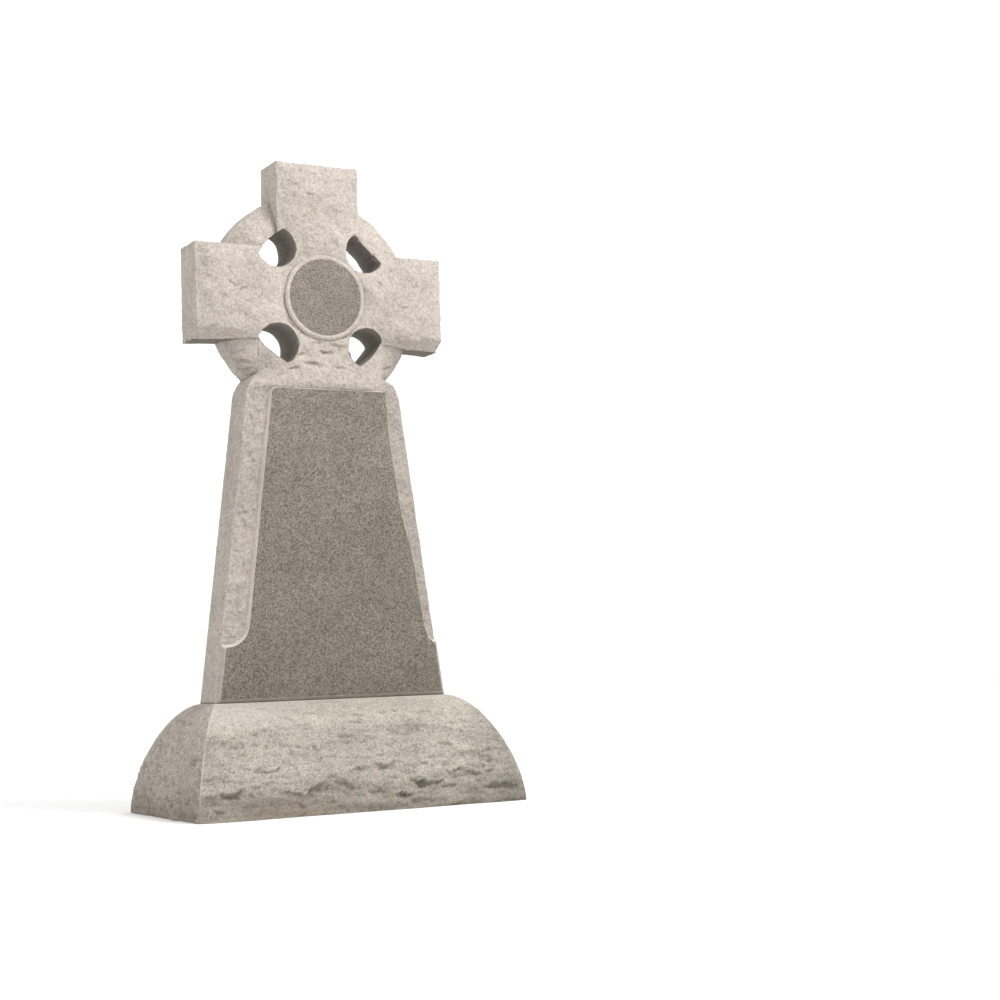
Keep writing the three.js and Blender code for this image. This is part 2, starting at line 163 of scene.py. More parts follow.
# Rows of points up the base, and points along each of its sides.
BASE_LEVELS = 116
BASE_STEPS = (290, 96, 130, 96)
# The wavy line under which the base's front is darker.
DARKER_BELOW = [
    (-0.375, 0.048), (-0.288, 0.058), (-0.208, 0.054), (-0.158, 0.046), (-0.116, 0.062),
    (-0.092, 0.074), (-0.059, 0.064), (-0.031, 0.053), (0.050, 0.055), (0.115, 0.061),
    (0.188, 0.068), (0.233, 0.076), (0.307, 0.062), (0.373, 0.050),
]


def fractal(co, scale, octaves, seed, stretch=(1, 1, 1)):
    """Smooth unevenness, about -1 to 1, at every point."""
    shift = Vector((seed * 7.31, seed * -3.7, seed * 5.9))
    s = [k / scale for k in stretch]
    return np.array(
        [
            noise.fractal(
                Vector((p[0] * s[0], p[1] * s[1], p[2] * s[2])) + shift, 0.9, 2.1, octaves
            )
            for p in co
        ]
    )


def facets(co, size, seed, stretch=(1, 1, 1)):
    """Chipped flats: every cell has its own small tilt. About -1 to 1."""
    shift = Vector((seed * 3.3, seed * 9.1, seed * -4.7))
    middle = Vector((0.5, 0.5, 0.5))
    out = np.empty(len(co))
    for i, p in enumerate(co):
        v = Vector([p[k] * stretch[k] / size for k in range(3)]) + shift
        centre = noise.voronoi(v)[1][0]
        h = noise.cell_vector(centre * 3.7)
        out[i] = (h[0] - 0.5) * 0.8 + (v - centre).dot(h - middle) * 1.9
    return out


def layer(co, kind):
    size, octaves, seed, depth, stretch = kind
    return fractal(co, size, octaves, seed, stretch) * depth


def chipped(co, kind):
    size, seed, depth, stretch = kind
    return facets(co, size, seed, stretch) * depth


def smooth(low, high, value):
    """0 up to low, 1 from high on, with a soft rise between; high may be the smaller."""
    t = np.clip((value - low) / (high - low), 0, 1)
    return t * t * (3 - 2 * t)


def scars(lines, x, z, wobble):
    """Height of the struck scars with their brows, and how much each point is shaded."""
    out = np.zeros(len(x))
    shaded = np.zeros(len(x))
    for line, depth, tall, soft in lines:
        xs = np.array([p[0] for p in line])
        zs = np.array([p[1] for p in line])
        lip = np.interp(x, xs, zs) + wobble * min(0.007, tall * 0.3)
        below = (lip - z) / tall
        run = min(0.022, 0.4 * (xs[-1] - xs[0]))
        starts = smooth(xs[0] - 0.008, xs[0] + run, x)
        ends = starts * (1 - smooth(xs[-1] - run, xs[-1] + 0.008, x))
        t = np.clip(below, 0, 1)
        struck = np.where(below >= 0, (1 - t) ** 1.6, 0)
        hollow = 6.75 * t * (1 - t) ** 2
        brow = np.where(below < 0, np.exp(below * 2.2), 0) * 0.35
        out += ends * depth * ((1 - soft) * (brow - struck) - soft * hollow)
        core = (1 - soft) * struck * np.clip(depth / 0.006, 0, 1)
        shaded = np.maximum(shaded, ends * np.maximum(core, 0.18 * hollow * soft))
    return out, shaded


def strewn(count, deepest, half, low, high, seed):
    """Small scars at random on a side that reaches from -half to half."""
    pick = np.random.default_rng(seed)
    lines = []
    for _ in range(count):
        level = pick.uniform(low, high)
        start = pick.uniform(-half, half)
        length = pick.uniform(0.010, 0.042)
        slope = pick.uniform(-0.25, 0.25)
        line = [(start, level), (start + length, level + slope * length)]
        depth = deepest * pick.uniform(0.4, 1.0)
        lines.append((line, depth, pick.uniform(0.006, 0.013), pick.uniform(0.3, 0.7)))
    return lines


def merged(obj):
    """Points and triangles of a CAD node, with shared corners joined."""
    me = obj.data
    co = np.empty(len(me.vertices) * 3)
    me.vertices.foreach_get("co", co)
    co = co.reshape(-1, 3)
    me.calc_loop_triangles()
    tri = np.empty(len(me.loop_triangles) * 3, np.int32)
    me.loop_triangles.foreach_get("vertices", tri)
    keys = np.round(co / 2e-6).astype(np.int64)
    _, first, inverse = np.unique(keys, axis=0, return_index=True, return_inverse=True)
    tri = inverse.reshape(-1)[tri].reshape(-1, 3)
    good = (tri[:, 0] != tri[:, 1]) & (tri[:, 1] != tri[:, 2]) & (tri[:, 2] != tri[:, 0])
    return co[first], tri[good]


def normals_of(co, tri):
    n = np.cross(co[tri[:, 1]] - co[tri[:, 0]], co[tri[:, 2]] - co[tri[:, 0]])
    return n / np.maximum(np.linalg.norm(n, axis=1, keepdims=True), 1e-15)


def edge_keys(tri, count):
    e = np.sort(np.concatenate([tri[:, [0, 1]], tri[:, [1, 2]], tri[:, [2, 0]]]), axis=1)
    return e[:, 0].astype(np.int64) * count + e[:, 1]


def refine(co, tri, zone, rounds=9):
    """Halves long edges until each is within its zone's limit."""
    limits = np.array([ZONE_LIMIT[z] for z in range(len(ZONE_LIMIT))])
    for _ in range(rounds):
        count = len(co)
        keys = edge_keys(tri, count)
        uniq, inverse = np.unique(keys, return_inverse=True)
        limit = np.full(len(uniq), 9.0)
        np.minimum.at(limit, inverse, np.tile(limits[zone], 3))
        a, b = uniq // count, uniq % count
        split = np.linalg.norm(co[a] - co[b], axis=1) > limit
        if not split.any():
            break
        middle = np.full(len(uniq), -1)
        middle[split] = count + np.arange(split.sum())
        co = np.concatenate([co, (co[a[split]] + co[b[split]]) / 2])
        m = middle[inverse].reshape(3, -1).T
        marks = (m >= 0).sum(axis=1)
        parts, zones = [tri[marks == 0]], [zone[marks == 0]]
        for r in range(3):
            t, q = np.roll(tri, -r, axis=1), np.roll(m, -r, axis=1)
            one = (marks == 1) & (q[:, 0] >= 0)
            t1, q1 = t[one], q[one]
            parts += [
                np.stack([t1[:, 0], q1[:, 0], t1[:, 2]], 1),
                np.stack([q1[:, 0], t1[:, 1], t1[:, 2]], 1),
            ]
            zones += [zone[one]] * 2
            two = (marks == 2) & (q[:, 2] < 0)
            t2, q2, z2 = t[two], q[two], zone[two]
            parts.append(np.stack([q2[:, 0], t2[:, 1], q2[:, 1]], 1))
            zones.append(z2)
            near = np.linalg.norm(co[t2[:, 0]] - co[q2[:, 1]], axis=1)
            far = np.linalg.norm(co[q2[:, 0]] - co[t2[:, 2]], axis=1)
            s = near <= far
            parts += [
                np.stack([t2[s, 0], q2[s, 0], q2[s, 1]], 1),
                np.stack([t2[s, 0], q2[s, 1], t2[s, 2]], 1),
                np.stack([t2[~s, 0], q2[~s, 0], t2[~s, 2]], 1),
                np.stack([q2[~s, 0], q2[~s, 1], t2[~s, 2]], 1),
            ]
            zones += [z2[s], z2[s], z2[~s], z2[~s]]
        three = marks == 3
        t, q = tri[three], m[three]
        parts += [
            np.stack([t[:, 0], q[:, 0], q[:, 2]], 1),
            np.stack([q[:, 0], t[:, 1], q[:, 1]], 1),
            np.stack([q[:, 2], q[:, 1], t[:, 2]], 1),
            q,
        ]
        zones += [zone[three]] * 4
        tri, zone = np.concatenate(parts), np.concatenate(zones)
    return co, tri, zone


def edges_of(tri, zone, count):
    """Every edge once, and which edges lie between two zones."""
    keys = edge_keys(tri, count)
    uniq, inverse = np.unique(keys, return_inverse=True)
    low = np.full(len(uniq), 99)
    high = np.full(len(uniq), -1)
    np.minimum.at(low, inverse, np.tile(zone, 3))
    np.maximum.at(high, inverse, np.tile(zone, 3))
    return uniq, uniq // count, uniq % count, low != high


def relax(values, a, b, moving, rounds, rate=0.5):
    """Evens out values over neighbours, only where moving is true."""
    count = len(values)
    degree = np.bincount(a, minlength=count) + np.bincount(b, minlength=count)
    shape = (-1,) + (1,) * (values.ndim - 1)
    degree = np.maximum(degree, 1).reshape(shape)
    keep = moving.reshape(shape)
    for _ in range(rounds):
        total = np.zeros_like(values)
        np.add.at(total, a, values[b])
        np.add.at(total, b, values[a])
        values = np.where(keep, values + rate * (total / degree - values), values)
    return values


def vertex_normals(co, tri):
    n = np.cross(co[tri[:, 1]] - co[tri[:, 0]], co[tri[:, 2]] - co[tri[:, 0]])
    out = np.zeros_like(co)
    for k in range(3):
        np.add.at(out, tri[:, k], n)
    return out / np.maximum(np.linalg.norm(out, axis=1, keepdims=True), 1e-15)


def distance_to(co, chosen):
    """Distance from every point to the nearest chosen point."""
    index = np.flatnonzero(chosen)
    tree = kdtree.KDTree(len(index))
    for k, i in enumerate(index):
        tree.insert(co[i], k)
    tree.balance()
    return np.array([tree.find(p)[2] for p in co])


def mark_sharp(me, sharp_keys):
    """Keeps the edges with these keys sharp in the smooth shading."""
    pairs = np.empty(len(me.edges) * 2, np.int32)
    me.edges.foreach_get("vertices", pairs)
    pairs = np.sort(pairs.reshape(-1, 2), axis=1).astype(np.int64)
    flags = np.isin(pairs[:, 0] * len(me.vertices) + pairs[:, 1], sharp_keys)
    layer = me.attributes.get("sharp_edge") or me.attributes.new("sharp_edge", "BOOLEAN", "EDGE")
    layer.data.foreach_set("value", flags)


def thin_out(obj, region, plain, wanted):
    """Takes slivers out around the plain points, down to the wanted number of triangles.

    region is each triangle's surface: the edges between two surfaces stay sharp.
    """
    layer = obj.data.attributes.new("region", "INT", "FACE")
    layer.data.foreach_set("value", region.astype(np.int32))
    group = obj.vertex_groups.new(name="plain")
    group.add(np.flatnonzero(plain).tolist(), 1.0, "REPLACE")
    fewer = obj.modifiers.new("fewer", "DECIMATE")
    fewer.ratio = wanted / len(region)
    fewer.vertex_group = "plain"
    fewer.vertex_group_factor = 1000.0
    ready = obj.evaluated_get(bpy.context.evaluated_depsgraph_get())
    me = bpy.data.meshes.new_from_object(ready)
    obj.modifiers.clear()
    obj.vertex_groups.clear()
    obj.data = me
    tri = np.empty(len(me.polygons) * 3, np.int32)
    me.polygons.foreach_get("vertices", tri)
    left = np.empty(len(me.polygons), np.int32)
    me.attributes["region"].data.foreach_get("value", left)
    keys, _, _, border = edges_of(tri.reshape(-1, 3), left, len(me.vertices))
    mark_sharp(me, keys[border])


def build(name, co, faces, zone, sharp_keys, slots, attributes):
    """A mesh object with one material slot per zone group and point attributes."""
    me = bpy.data.meshes.new(name)
    width = faces.shape[1]
    me.vertices.add(len(co))
    me.vertices.foreach_set("co", co.astype(np.float32).ravel())
    me.loops.add(faces.size)
    me.loops.foreach_set("vertex_index", faces.astype(np.int32).ravel())
    me.polygons.add(len(faces))
    me.polygons.foreach_set("loop_start", np.arange(0, faces.size, width, dtype=np.int32))
    me.polygons.foreach_set("material_index", slots[zone].astype(np.int32))
    me.update(calc_edges=True)
    me.validate()
    me.shade_smooth()
    mark_sharp(me, sharp_keys)
    for label, values in attributes.items():
        layer = me.attributes.new(label, "FLOAT", "POINT")
        layer.data.foreach_set("value", values.astype(np.float32))
    obj = bpy.data.objects.new(name, me)
    bpy.context.scene.collection.objects.link(obj)
    return obj


def granite(
    name, light, dark, fleck, contrast, grain, rough, bump, tint, mottle, worn_and_shaded=None, fall=None
):
    """Speckled granite: two grain sizes, dark flecks, mottling and a slow drift of colour.

    mottle is the strength of the cloudy patches a few centimetres across,
    the worn and shaded colours are taken by the point attributes: painted shade in recesses,
    a pale arris colour that is also a painted highlight, and a stain colour, on the cross grime
    with painted shade, fall is a low and a high level with the share of light colour left at the
    low one.
    """
    mat = bpy.data.materials.new(name)
    mat.use_nodes = True
    nodes, links = mat.node_tree.nodes, mat.node_tree.links
    nodes.clear()
    out = nodes.new("ShaderNodeOutputMaterial")
    shader = nodes.new("ShaderNodeBsdfPrincipled")
    links.new(shader.outputs[0], out.inputs[0])
    place = nodes.new("ShaderNodeTexCoord")

    def tex(scale, detail, roughness):
        t = nodes.new("ShaderNodeTexNoise")
        t.inputs["Scale"].default_value = scale
        t.inputs["Detail"].default_value = detail
        t.inputs["Roughness"].default_value = roughness
        links.new(place.outputs["Object"], t.inputs["Vector"])
        return t.outputs["Fac"]

    def ramp(value, low, high):
        r = nodes.new("ShaderNodeMapRange")
        r.inputs["From Min"].default_value = low
        r.inputs["From Max"].default_value = high
        links.new(value, r.inputs["Value"])
        return r.outputs["Result"]

    def times(a, b):
        m = nodes.new("ShaderNodeMath")
        m.operation = "MULTIPLY"
        links.new(a, m.inputs[0])
        if isinstance(b, float):
            m.inputs[1].default_value = b
        else:
            links.new(b, m.inputs[1])
        return m.outputs[0]

    def mix(factor, a, b, kind="MIX"):
        m = nodes.new("ShaderNodeMix")
        m.data_type = "RGBA"
        m.blend_type = kind
        if isinstance(factor, float):
            m.inputs["Factor"].default_value = factor
        else:
            links.new(factor, m.inputs["Factor"])
        for socket, value in (("A", a), ("B", b)):
            s = [i for i in m.inputs if i.name == socket and i.type == "RGBA"][0]
            if isinstance(value, tuple):
                s.default_value = value + (1.0,)
            else:
                links.new(value, s)
        return [o for o in m.outputs if o.type == "RGBA"][0]

    def attribute(label):
        a = nodes.new("ShaderNodeAttribute")
        a.attribute_name = label
        return a.outputs["Fac"]

    speckle = ramp(tex(grain, 2.0, 0.6), 0.5 - 0.16 / contrast, 0.5 + 0.16 / contrast)
    colour = mix(speckle, dark, light)
    pink = ramp(tex(grain * 0.55, 2.0, 0.5), 0.50, 0.66)
    colour = mix(times(pink, 0.55), colour, tint)
    cells = nodes.new("ShaderNodeTexVoronoi")
    cells.inputs["Scale"].default_value = grain * 1.15
    links.new(place.outputs["Object"], cells.inputs["Vector"])
    flecks = ramp(cells.outputs["Distance"], 0.30, 0.18)
    rare = ramp(tex(grain * 0.5, 1.0, 0.5), 0.47, 0.60)
    colour = mix(times(times(flecks, rare), 0.8), colour, fleck)
    drift = ramp(tex(7.0, 3.0, 0.6), 0.35, 0.65)
    shade = mix(drift, (0.91, 0.905, 0.90), (1.07, 1.065, 1.06))
    colour = mix(1.0, colour, shade, kind="MULTIPLY")
    cloud = ramp(tex(42.0, 4.0, 0.65), 0.38, 0.62)
    cloudy = mix(cloud, (1 - mottle,) * 3, (1 + mottle,) * 3)
    colour = mix(1.0, colour, cloudy, kind="MULTIPLY")
    if fall:
        split = nodes.new("ShaderNodeSeparateXYZ")
        links.new(place.outputs["Object"], split.inputs[0])
        level = ramp(split.outputs["Z"], fall[0], fall[1])
        least = (fall[2],) * 3
        colour = mix(1.0, colour, mix(level, least, (1.0, 1.0, 1.0)), kind="MULTIPLY")
    if worn_and_shaded:
        # Painted highlight on the arrises, painted shade in recesses, the shade attribute's
        # painted shade and darker tone, then stain and grime with painted shade.
        colour = mix(times(attribute("edge"), 0.6), colour, worn_and_shaded[1])
        colour = mix(times(attribute("recess_shade"), 0.75), colour, worn_and_shaded[0])
        colour = mix(attribute("shade"), colour, mix(1.0, colour, (0.5, 0.5, 0.5), "MULTIPLY"))
        colour = mix(times(attribute("stain_and_shade"), 0.85), colour, worn_and_shaded[2])
    links.new(colour, shader.inputs["Base Color"])
    shader.inputs["Roughness"].default_value = rough
    shader.inputs["Specular IOR Level"].default_value = 0.3
    fine = nodes.new("ShaderNodeBump")
    fine.inputs["Strength"].default_value = bump
    fine.inputs["Distance"].default_value = 0.0016
    links.new(tex(grain * 0.9, 6.0, 0.7), fine.inputs["Height"])
    links.new(fine.outputs[0], shader.inputs["Normal"])
    return mat


# Colours the point attributes blend in: painted shade for recesses, a pale arris colour that is
# also a painted highlight, a real brown stain for the base, and grime with painted shade for the
# cross.
RECESS_SHADE = (0.125, 0.104, 0.084)
ARRIS_PALE_AND_HIGHLIGHT = (0.58, 0.54, 0.49)
STAIN = (0.165, 0.128, 0.094)
GRIME_AND_SHADE = (0.100, 0.088, 0.068)
ON_CROSS = (RECESS_SHADE, ARRIS_PALE_AND_HIGHLIGHT, GRIME_AND_SHADE)
ON_BASE = (RECESS_SHADE, ARRIS_PALE_AND_HIGHLIGHT, STAIN)
ROCK_MAT = granite(
    "rock_faced_granite", (0.500, 0.450, 0.405), (0.330, 0.296, 0.264), (0.12, 0.103, 0.088),
    1.0, 190.0, 0.90, 0.60, (0.46, 0.390, 0.345), 0.035, ON_CROSS,
)
FINE_MAT = granite(
    "fine_dressed_granite", (0.266, 0.233, 0.194), (0.095, 0.080, 0.064), (0.040, 0.034, 0.028),
    1.30, 290.0, 0.66, 0.20, (0.200, 0.165, 0.134), 0.07, None, (0.24, 1.20, 0.82),
)
SIDE_MAT = granite(
    "sawn_granite", (0.470, 0.428, 0.380), (0.310, 0.281, 0.249), (0.12, 0.105, 0.09), 1.7,
    190.0, 0.85, 0.80, (0.43, 0.365, 0.320), 0.05, ON_CROSS,
)
BASE_MAT = granite(
    "pitched_base_granite", (0.510, 0.474, 0.412), (0.316, 0.290, 0.248), (0.11, 0.095, 0.078),
    1.45, 235.0, 0.92, 0.95, (0.455, 0.392, 0.328), 0.06, ON_BASE,
)
FLANK_MAT = granite(
    "flank_granite", (0.425, 0.385, 0.335), (0.262, 0.236, 0.204), (0.11, 0.095, 0.08), 1.7,
    200.0, 0.90, 0.95, (0.38, 0.325, 0.28), 0.07, ON_BASE,
)
TOOLED_MAT = granite(
    "tooled_margin_granite", (0.575, 0.530, 0.478), (0.455, 0.415, 0.368), (0.22, 0.20, 0.175),
    1.0, 220.0, 0.86, 0.25, (0.52, 0.46, 0.405), 0.03, ON_CROSS,
)


def cross_zones(co, tri):
    """The surface zone of each of the cross's triangles."""
    n = normals_of(co, tri)
    corners = co[tri]
    x, y, z = corners.mean(axis=1).T
    ny, nz = n[:, 1], n[:, 2]
    reach = np.hypot(corners[:, :, 0], corners[:, :, 2] - HEAD_Z)
    nearest, farthest = reach.min(axis=1), reach.max(axis=1)
    hole = np.hypot(np.abs(x - HEAD_SHIFT) - HOLE_X, np.abs(z - HEAD_Z) - HOLE_Z)
    zone = np.full(len(tri), ROCK)
    wall = np.abs(ny) < 0.02
    zone[wall] = SIDE
    zone[wall & (nz < -0.9) & (z < FOOT_Z + 0.001)] = UNDER
    zone[wall & (hole < HOLE_R + 0.001)] = HOLE
    on_ring = farthest < RING_OUT + 0.001
    zone[wall & on_ring & (nearest > RING_OUT - 0.001)] = RINGSIDE
    zone[(ny < -0.02) & on_ring & (corners[:, :, 1].min(axis=1) > RING_FRONT_Y)] = RINGFACE
    zone[ny > 0.9] = BACK
    neck_side = (np.abs(np.abs(x) - NECK_HALF) < 0.001) & (z > NECK_LOW) & (z < NECK_TOP)
    zone[(zone == SIDE) & neck_side & (y < 0)] = ROCK
    level = np.abs(corners[:, :, 1] + HALF_T).max(axis=1) < 2e-4
    zone[level & (ny < -0.99) & (z < PANEL_TOP + 0.002)] = PANEL
    at_disc = np.abs(corners[:, :, 1] + HALF_T + DISC_PROUD).max(axis=1) < 2e-4
    zone[at_disc & (farthest < DISC_R + 0.001)] = DISC
    loose = (zone == ROCK) | (zone == SIDE)
    zone[loose & (farthest < DISC_RIM + 0.0006) & (y < -0.030)] = RIM
    sloped = (ny < -0.02) & (ny > -0.62) & (y < -0.030)
    zone[(zone == ROCK) & sloped & (z < PANEL_TOP + 0.012)] = BEVEL
    foot = (ny < -0.5) & (ny > -0.85) & (z < STRIP_STOP + 0.005)
    zone[(zone == ROCK) & foot] = BEVEL
    return zone


def cross_height(co, owner, on_border, away, head):
    """How far each point is moved out, and how dark the scars make it."""
    height = np.zeros(len(co))
    shaded = np.zeros(len(co))
    pick = np.flatnonzero(np.isin(owner, (ROCK, RINGFACE, BEVEL, RIM)))
    p, on_head = co[pick], head[pick]
    relief = layer(p, CROSS_BIG) * (0.15 + 0.85 * on_head)
    relief += layer(p, CROSS_MIDDLE) * (1.8 - 0.8 * on_head)
    relief += chipped(p, CROSS_CHIPS) * (2.4 - 1.4 * on_head)
    relief += layer(p, CROSS_GRAIN) * (1.8 - 0.8 * on_head)
    relief[owner[pick] == BEVEL] *= BEVEL_SHARE
    relief[owner[pick] == RIM] *= RIM_SHARE
    cut, dark = scars(HEAD_SCARS, p[:, 0], p[:, 2] - HEAD_Z, fractal(p, 0.02, 2, 11))
    height[pick] = relief * (1 - np.exp(-away[pick] / ROCK_CALM)) + cut * on_head
    shaded[pick] = dark * on_head
    # The groove round the disc's rim is worn nearly full.
    height[(owner == RIM) & (co[:, 1] > -HALF_T - 0.002)] += GROOVE_FILL
    walls = np.flatnonzero(np.isin(owner, (SIDE, HOLE, BACK, RINGSIDE)))
    worked = layer(co[walls], WALL_BROAD) + layer(co[walls], WALL_SMALL)
    height[walls] = worked * (1 - np.exp(-away[walls] / WALL_CALM))
    arris = np.flatnonzero(on_border)
    chips = layer(co[arris], ARRIS_BROAD) + layer(co[arris], ARRIS_SMALL)
    chips *= 0.5 + 0.5 * head[arris]
    straight = np.isin(owner[arris], (PANEL, DISC, RIM, BEVEL))
    height[arris] = np.where(straight, -0.0003 + 0.2 * chips, -0.0006 + chips)
    return height, shaded


def lump_push(co, near_hole):
    """The lump on the ring's inner edge, as a move of each point into the hole."""
    from_lump = np.linalg.norm((co - LUMP) * (1, 0.6, 1), axis=1)
    inward = np.array((HEAD_SHIFT + HOLE_X - LUMP[0], 0, HEAD_Z + HOLE_Z - LUMP[2]))
    inward /= np.linalg.norm(inward)
    lump = LUMP_PROUD * np.exp(-((from_lump / LUMP_REACH) ** 2)) * near_hole
    return inward * lump[:, None]


def cross_recesses(co, owner, dip, shaded, head):
    """Painted shade in hollows, under the scars' lips, along the rim's foot and in the ring's
    corners.
    """
    rocky = np.isin(owner, (ROCK, RINGFACE))
    # Painted shade in the hollows of the relief and under the scars' lips.
    recess_shade = np.clip(dip / 0.0016, 0, 1) * rocky * (0.3 + 0.3 * head)
    recess_shade = np.maximum(recess_shade, shaded)
    above = co[:, 2] - HEAD_Z
    # Painted shade along the foot of the disc's rim, darkest on its lower left, away from the
    # light.
    rim_foot = (owner == RIM) & (co[:, 1] > -HALF_T - 0.002)
    lower_left = (-0.5 * co[:, 0] - 0.85 * above) / DISC_RIM
    recess_shade[rim_foot] = 0.06 + 0.30 * smooth(-0.1, 0.9, lower_left[rim_foot])
    # Painted shade on the ring's face in its corners beside the arms.
    beside_low = np.exp(-np.clip(-ARM_LOW - above, 0, 1) / 0.008)
    beside_high = np.exp(-np.clip(above - ARM_HIGH, 0, 1) / 0.005)
    beside_left = np.exp(-np.clip(TOP_ARM_LEFT - co[:, 0], 0, 1) / 0.006)
    beside_right = np.exp(-np.clip(co[:, 0] - TOP_ARM_RIGHT, 0, 1) / 0.006)
    beside_top = np.where(co[:, 0] < 0, beside_left, beside_right)
    upper = np.maximum(0.4 * beside_high, 0.5 * beside_top)
    corner = np.where(above < 0, 0.60 * beside_low, upper)
    return np.where(owner == RINGFACE, np.maximum(recess_shade, corner), recess_shade)


def cross_shade(co, owner, underside, head):
    """Where the colour is darker: painted shade under the right arm and on the lower ring's
    outer edge, which turns down from the light, and darker strips, foot chamfers, shaft sides
    and right shoulder.
    """
    x, z = co[:, 0], co[:, 2]
    above = z - HEAD_Z
    shade = np.zeros(len(co))
    strips = (owner == ROCK) & (head < 0.5)
    shade[strips] = 0.28 + 0.18 * smooth(-0.05, 0.05, x[strips])
    shade[(owner == BEVEL) & (z < STRIP_STOP)] = 0.78
    shade[(owner == SIDE) & (head < 0.5)] = 0.12
    # Painted shade on the lower ring's outer edge, which turns down away from the light.
    low_ring = (owner == RINGFACE) & (above < 0)
    shade[low_ring] = 0.34 * smooth(0.226, 0.247, np.hypot(x, above)[low_ring])
    shoulder = smooth(0.110, 0.160, x) * smooth(0.90, 0.93, z)
    shoulder *= 1 - smooth(-0.175, -0.150, above)
    shade = np.where(owner == ROCK, np.maximum(shade, 0.42 * shoulder), shade)
    # Painted shade under the right arm.
    shade[underside & (x > 0)] = 0.55
    return shade


def make_cross():
    co, tri = merged(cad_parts["cross"])
    co, tri, zone = refine(co, tri, cross_zones(co, tri))
    count = len(co)
    # The ring's face runs into the neck's front without an edge.
    joined = np.where(zone == RINGFACE, ROCK, zone)
    keys, a, b, border = edges_of(tri, joined, count)
    on_border = np.zeros(count, bool)
    on_border[a[border]] = on_border[b[border]] = True
    owner = np.full(count, -1)
    owner[tri.ravel()] = np.repeat(zone, 3)
    rocky = np.isin(owner, (ROCK, RINGFACE))
    co = relax(co, a, b, rocky & ~on_border, 14)
    at_neck = (np.abs(np.abs(co[:, 0]) - NECK_HALF) < 0.022) & (co[:, 2] > NECK_LOW - 0.01)
    at_neck &= co[:, 2] < NECK_TOP + 0.01
    co = relax(co, a, b, rocky & ~on_border & at_neck, 50)
    away = distance_to(co, on_border)
    normal = vertex_normals(co, tri)
    head = smooth(PANEL_TOP - 0.01, PANEL_TOP + 0.02, co[:, 2])
    height, shaded = cross_height(co, owner, on_border, away, head)
    moved = co + normal * height[:, None]
    moved += lump_push(co, np.isin(owner, (HOLE, RINGFACE)) | on_border)
    foot = co[:, 2] < FOOT_Z + 0.001
    moved[foot, 2] = co[foot, 2]
    everywhere = np.ones(count, bool)
    dip = relax(height, a, b, everywhere, 12) - height
    # A painted highlight along the rock's arrises; the bevels take a quarter of this pale
    # colour, the rim almost none.
    edge = relax((on_border & rocky).astype(float), a, b, everywhere, 2)
    edge[owner == BEVEL] = np.maximum(edge[owner == BEVEL], 0.25)
    edge[owner == RIM] = 0.05
    # Painted shade, with some grime, under the arms and on the hole walls.
    underside = (normal[:, 2] < -0.5) & (owner == SIDE)
    stain_and_shade = np.where(owner == HOLE, 0.75, 0.0)
    stain_and_shade[underside] = 1.0
    attributes = {
        "recess_shade": cross_recesses(co, owner, dip, shaded, head),
        "edge": edge,
        "stain_and_shade": stain_and_shade,
        "shade": relax(cross_shade(co, owner, underside, head), a, b, everywhere, 1),
    }
    # Material slots: rock, fine dressed, tooled, sawn, flank.
    slots = np.array([0, 1, 1, 0, 2, 3, 3, 0, 3, 3, 4])
    obj = build("cross_stone", moved, tri, zone, keys[border], slots, attributes)
    for mat in (ROCK_MAT, FINE_MAT, TOOLED_MAT, SIDE_MAT, FLANK_MAT):
        obj.data.materials.append(mat)
    plain = np.isin(owner, (SIDE, HOLE, BACK, BEVEL)) & ~on_border
    thin_out(obj, joined, plain, TRIANGLES_KEPT)
    print("cross", len(obj.data.polygons), "triangles")
    return obj


def base_profile(levels):
    """Equally spaced points down the flank: share of the way out, and height."""
    turn = np.linspace(0, math.pi / 2, 600)
    z = BASE_H * np.sin(turn) ** 1.15
    share = (1 - np.clip(z / BASE_H, 0, 1) ** BASE_CURVE) ** (1 / BASE_CURVE)
    run = np.hypot(np.diff(share * 0.16), np.diff(z))
    along = np.concatenate([[0], np.cumsum(run)])
    want = np.linspace(0, along[-1], levels)
    return np.interp(want, along, share), np.interp(want, along, z)


def base_grid():
    """The plain base's points, their distance from a corner, and the flank's lean there."""
    share, heights = base_profile(BASE_LEVELS)
    half_x = SEAT_X + (BASE_W / 2 - SEAT_X) * share
    half_y = SEAT_Y + (BASE_D / 2 - SEAT_Y) * share
    around = sum(BASE_STEPS)
    co = np.empty((BASE_LEVELS, around, 3))
    corner = np.empty((BASE_LEVELS, around))
    lean = np.empty((BASE_LEVELS, around))
    lean_long = -np.gradient(half_y, heights)
    lean_short = -np.gradient(half_x, heights)
    ends = [((-1, -1), (1, -1)), ((1, -1), (1, 1)), ((1, 1), (-1, 1)), ((-1, 1), (-1, -1))]
    column = 0
    for k, (start, end) in enumerate(ends):
        long_side = k in (FRONT, REAR)
        for s in range(BASE_STEPS[k]):
            t = s / BASE_STEPS[k]
            co[:, column, 0] = half_x * (start[0] + (end[0] - start[0]) * t)
            co[:, column, 1] = half_y * (start[1] + (end[1] - start[1]) * t)
            co[:, column, 2] = heights
            corner[:, column] = min(t, 1 - t) * 2 * (half_x if long_side else half_y)
            lean[:, column] = lean_long if long_side else lean_short
            column += 1
    return co.reshape(-1, 3), corner.ravel(), lean.ravel()


